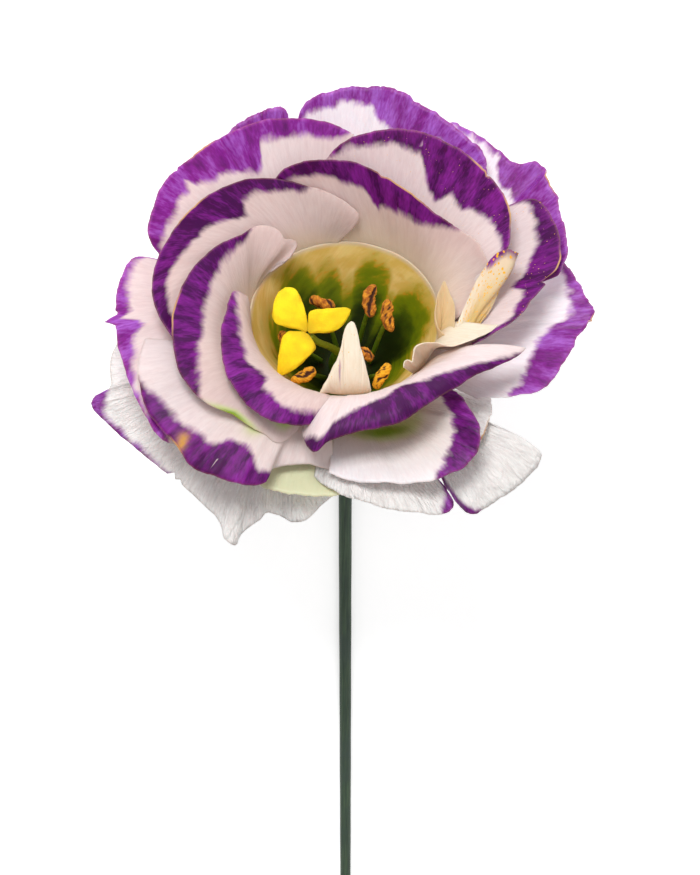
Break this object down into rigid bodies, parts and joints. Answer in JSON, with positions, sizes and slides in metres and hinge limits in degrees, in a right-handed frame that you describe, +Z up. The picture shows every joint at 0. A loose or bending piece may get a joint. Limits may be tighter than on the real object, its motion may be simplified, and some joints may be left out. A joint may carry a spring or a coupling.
{
  "type": "lisianthus flower",
  "caption": "Cut double-flowered lisianthus lying on its side: ruffled cup-shaped bloom of purple-edged white petals, yellow stigma, brown anthers, thin bent green stem.",
  "frame": {"origin": "centre of the bounding box's bottom face, on the surface the flower lies on", "axes": "+Y from the cut end of the stem towards the bloom, along the lying flower's length; +Z up from the surface; +X to the right, seen looking along +Y"},
  "size_m": [0.0717, 0.1489, 0.0456],
  "materials": {
    "inner_petals": "soft satin petal, cream white with a violet-purple border",
    "middle_petals": "soft satin petal, cream white with a violet-purple border",
    "outer_petals": "soft satin petal, white with a lighter violet border and fine creases",
    "petaloids": "soft cream petal tissue",
    "corolla_tube": "cream-yellow petal tissue, green at the foot",
    "calyx": "matt green leaf tissue",
    "stem": "dark green stem, satin",
    "ovary": "moist green, satin",
    "style": "olive green, satin",
    "stigma": "matt bright yellow, velvety",
    "filaments": "pale green, satin",
    "anthers": "matt orange-brown with loose pollen"
  },
  "bodies": {
    "root": {"inner_petal_1": "inner_petals", "inner_petal_2": "inner_petals", "inner_petal_3": "inner_petals", "inner_petal_4": "inner_petals", "middle_petal_1": "middle_petals", "middle_petal_2": "middle_petals", "middle_petal_3": "middle_petals", "middle_petal_4": "middle_petals", "middle_petal_5": "middle_petals", "middle_petal_6": "middle_petals", "outer_petal_1": "outer_petals", "outer_petal_2": "outer_petals", "outer_petal_3": "outer_petals", "outer_petal_4": "outer_petals", "outer_petal_5": "outer_petals", "outer_petal_6": "outer_petals", "outer_petal_7": "outer_petals", "outer_petal_8": "outer_petals", "outer_petal_9": "outer_petals", "outer_petal_10": "outer_petals", "petaloid_1": "petaloids", "petaloid_2": "petaloids", "petaloid_3": "petaloids", "petaloid_4": "petaloids", "corolla_tube": "corolla_tube", "receptacle": "calyx", "calyx_lobe_1": "calyx", "calyx_lobe_2": "calyx", "calyx_lobe_3": "calyx", "calyx_lobe_4": "calyx", "calyx_lobe_5": "calyx", "stem": "stem", "ovary": "ovary", "style": "style", "stigma_lobe_1": "stigma", "stigma_lobe_2": "stigma", "stigma_lobe_3": "stigma", "filament_1": "filaments", "filament_2": "filaments", "filament_3": "filaments", "filament_4": "filaments", "filament_5": "filaments", "filament_6": "filaments", "filament_7": "filaments", "anther_1": "anthers", "anther_2": "anthers", "anther_3": "anthers", "anther_4": "anthers", "anther_5": "anthers", "anther_6": "anthers", "anther_7": "anthers"}
  },
  "joints": []
}
